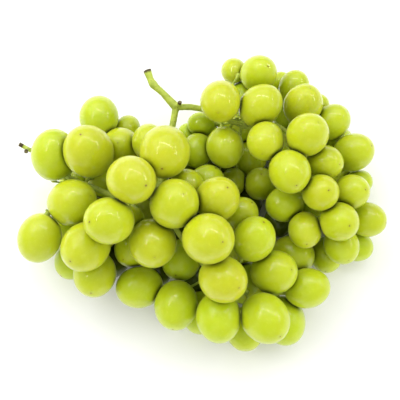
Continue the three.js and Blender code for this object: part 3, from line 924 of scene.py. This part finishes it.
@dataclass
class StemSystem:
    """The forked stalk with its branches and pedicels, rounded from the faceted CAD stem.

    Each end and stub is the middle of a cut face, and its reach is how far the brown spreads from it.
    """

    finish: GreenStem
    node: str = "stem"
    voxel: float = 0.45 * MM
    smoothing: int = 2
    smoothing_factor: float = 0.5
    stalk_end: tuple = (-28.41 * MM, 65.22 * MM, 46.80 * MM)
    arm_end: tuple = (-99.13 * MM, 30.98 * MM, 25.20 * MM)
    fork_stub: tuple = (-10.76 * MM, 47.72 * MM, 45.00 * MM)
    arm_stub: tuple = (-94.49 * MM, 25.50 * MM, 27.90 * MM)
    cut_reach: float = 1.7 * MM
    stub_reach: float = 1.15 * MM
    cut_depth: float = 2.0
    cap_sides: int = 12
    cap_width: float = 1.9 * MM
    cap_neck: float = 1.0 * MM
    cap_depth: float = 2.4 * MM
    cap_root: float = 0.9 * MM
    cap_near: float = 3.0 * MM

    def points(self) -> np.ndarray:
        """Returns the CAD stem's vertices."""
        return vertex_places(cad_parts[self.node].data)

    def _add_caps(self, shape: bmesh.types.BMesh, berries: list[Berry]) -> None:
        """Adds the flared cap that joins each pedicel to its berry.

        Args:
            shape: the stem's mesh.
            berries: all the berries.
        """
        points = self.points()
        for berry in berries:
            end = berry.end(-1)
            if distances(points, end).min() > self.cap_near:
                continue
            middle = end - berry.axis * (self.cap_depth / 2 - self.cap_root)
            bmesh.ops.create_cone(
                shape,
                cap_ends=True,
                segments=self.cap_sides,
                radius1=self.cap_width,
                radius2=self.cap_neck,
                depth=self.cap_depth,
                matrix=pointed(middle, -berry.axis),
            )

    def build(self, berries: list[Berry]) -> bpy.types.Object:
        """Rounds a merged copy of the CAD stem.

        Args:
            berries: all the berries, which the pedicels end at.

        Returns:
            The object, which rides on the body and replaces the CAD node.
        """
        shape = bmesh.new()
        shape.from_mesh(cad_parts[self.node].data)
        bmesh.ops.remove_doubles(shape, verts=shape.verts, dist=BerryFinder.MERGE)
        self._add_caps(shape, berries)
        mesh = bpy.data.meshes.new("stem_branches")
        shape.to_mesh(mesh)
        shape.free()
        piece = add_object("stem_branches", mesh)
        remesh = piece.modifiers.new("round", "REMESH")
        remesh.mode = "VOXEL"
        remesh.voxel_size = self.voxel
        remesh.adaptivity = 0.0
        smooth = piece.modifiers.new("soften", "SMOOTH")
        smooth.factor = self.smoothing_factor
        smooth.iterations = self.smoothing
        graph = bpy.context.evaluated_depsgraph_get()
        rounded = bpy.data.meshes.new_from_object(piece.evaluated_get(graph))
        piece.modifiers.clear()
        piece.data = rounded
        self._mark_cuts(rounded)
        rounded.shade_smooth()
        rounded.materials.clear()
        rounded.materials.append(self.finish.build())
        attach(piece, BODY)
        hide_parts(self.node)
        return piece

    def _mark_cuts(self, mesh: bpy.types.Mesh) -> None:
        """Stores how near each vertex is to a cut face, from 0 to the cut's depth, which turns it brown.

        Args:
            mesh: the rounded stem.
        """
        points = vertex_places(mesh)
        near = np.zeros(len(points))
        cuts = ((self.stalk_end, self.cut_reach), (self.arm_end, self.cut_reach))
        stubs = ((self.fork_stub, self.stub_reach), (self.arm_stub, self.stub_reach))
        for place, reach in cuts + stubs:
            near = np.maximum(near, self.cut_depth - distances(points, place) / reach)
        store(mesh, "cut", near)


@dataclass(frozen=True)
class Lamp:
    """One rectangular light: its place, power in watts, width and height, and whether berries mirror it."""

    name: str
    place: tuple
    power: float
    size: tuple = (1.0, 0.6)
    mirrored: bool = True

    def build(self, aim: Vector) -> None:
        """Hangs the light so that it faces a place.

        Args:
            aim: the place that it faces.
        """
        data = bpy.data.lights.new(self.name, "AREA")
        data.shape = "RECTANGLE"
        data.size, data.size_y = self.size
        data.energy = self.power
        lamp = add_object(self.name, data)
        lamp.visible_glossy = self.mirrored
        lamp.matrix_world = pointed(self.place, Vector(self.place) - aim)


@dataclass(frozen=True)
class Studio:
    """Pale floor, soft window light and the camera that looks down on the bunch.

    The bars are the bright lines of a window that the berries mirror. Lengths are in metres, but the
    focal length and the picture are in pixels and the sensor is in millimetres.
    """

    aim: Vector = Vector((-0.00016, -0.00468, 0.04))
    distance: float = 0.45
    elevation: float = math.radians(75)
    focal_pixels: float = 866.0
    picture_pixels: float = 400.0
    sensor: float = 36.0
    lamps: tuple = (
        Lamp("window_back", (-0.16, 0.62, 0.80), 5.6, (1.6, 1.0)),
        Lamp("window_top_bar", (0.12, 0.37, 0.64), 1.0, (0.86, 0.03)),
        Lamp("window_right_bar", (0.61, 0.19, 0.45), 0.70, (0.56, 0.03)),
        Lamp("window_left_bar", (-0.37, 0.16, 0.68), 0.60, (0.56, 0.03)),
        Lamp("fill_front", (0.1, -0.8, 0.5), 3.8, mirrored=False),
        Lamp("fill_left", (-0.8, 0.30, 0.5), 6.6, mirrored=False),
        Lamp("fill_right", (0.8, -0.1, 0.45), 3.0, mirrored=False),
    )
    sky_colour: tuple = (1.0, 1.0, 1.0, 1.0)
    sky_strength: float = 0.53
    floor_size: float = 1.6
    floor_cells: int = 40
    floor_flat: float = 0.6
    floor_rise: float = 0.25

    def camera(self) -> None:
        """Adds the camera at the photograph's angle."""
        data = bpy.data.cameras.new("camera")
        data.sensor_width = self.sensor
        data.lens = self.sensor * self.focal_pixels / self.picture_pixels
        back = Vector((0.0, -math.cos(self.elevation), math.sin(self.elevation)))
        camera = add_object("camera", data)
        camera.matrix_world = pointed(self.aim + back * self.distance, back)
        bpy.context.scene.camera = camera

    def sky(self) -> None:
        """Adds the even light from all sides, and shows colours as they are."""
        world = bpy.data.worlds.new("sky")
        world.use_nodes = True
        background = world.node_tree.nodes["Background"]
        background.inputs["Color"].default_value = self.sky_colour
        background.inputs["Strength"].default_value = self.sky_strength
        bpy.context.scene.world = world
        bpy.context.scene.view_settings.view_transform = "Standard"

    def floor(self) -> None:
        """Adds the pale floor, curved up gently at its far edges."""
        shape = bmesh.new()
        cells = self.floor_cells
        bmesh.ops.create_grid(shape, x_segments=cells, y_segments=cells, size=self.floor_size)
        for vert in shape.verts:
            vert.co.z = self.floor_rise * max(0.0, vert.co.length - self.floor_flat) ** 2
        mesh = bpy.data.meshes.new("floor")
        shape.to_mesh(mesh)
        shape.free()
        mesh.shade_smooth()
        mesh.materials.append(PaleFloor().build())
        piece = add_object("floor", mesh)

    def build(self) -> None:
        """Builds the camera, the lights, the sky and the floor."""
        self.camera()
        for lamp in self.lamps:
            lamp.build(self.aim)
        self.sky()
        self.floor()


def main() -> None:
    """Builds the bunch in order and logs each piece."""
    logging.basicConfig(level=logging.INFO, format="%(message)s")
    stem = StemSystem(GreenStem())
    stem_points = stem.points()
    clusters = (
        BerryCluster(Lobe.LEFT, BerrySkin("berry_skin_large")),
        BerryCluster(Lobe.RIGHT, BerrySkin("berry_skin_small")),
    )
    for cluster in clusters:
        cluster.find(stem_points)
    berries = [berry for cluster in clusters for berry in cluster.berries]
    for cluster in clusters:
        piece = cluster.build(berries)
        LOG.info("%s: %d berries, %d faces", piece.name, len(cluster.berries), len(piece.data.polygons))
    piece = stem.build(berries)
    LOG.info("%s: %d faces", piece.name, len(piece.data.polygons))
    Studio().build()


if __name__ == "__main__":
    main()
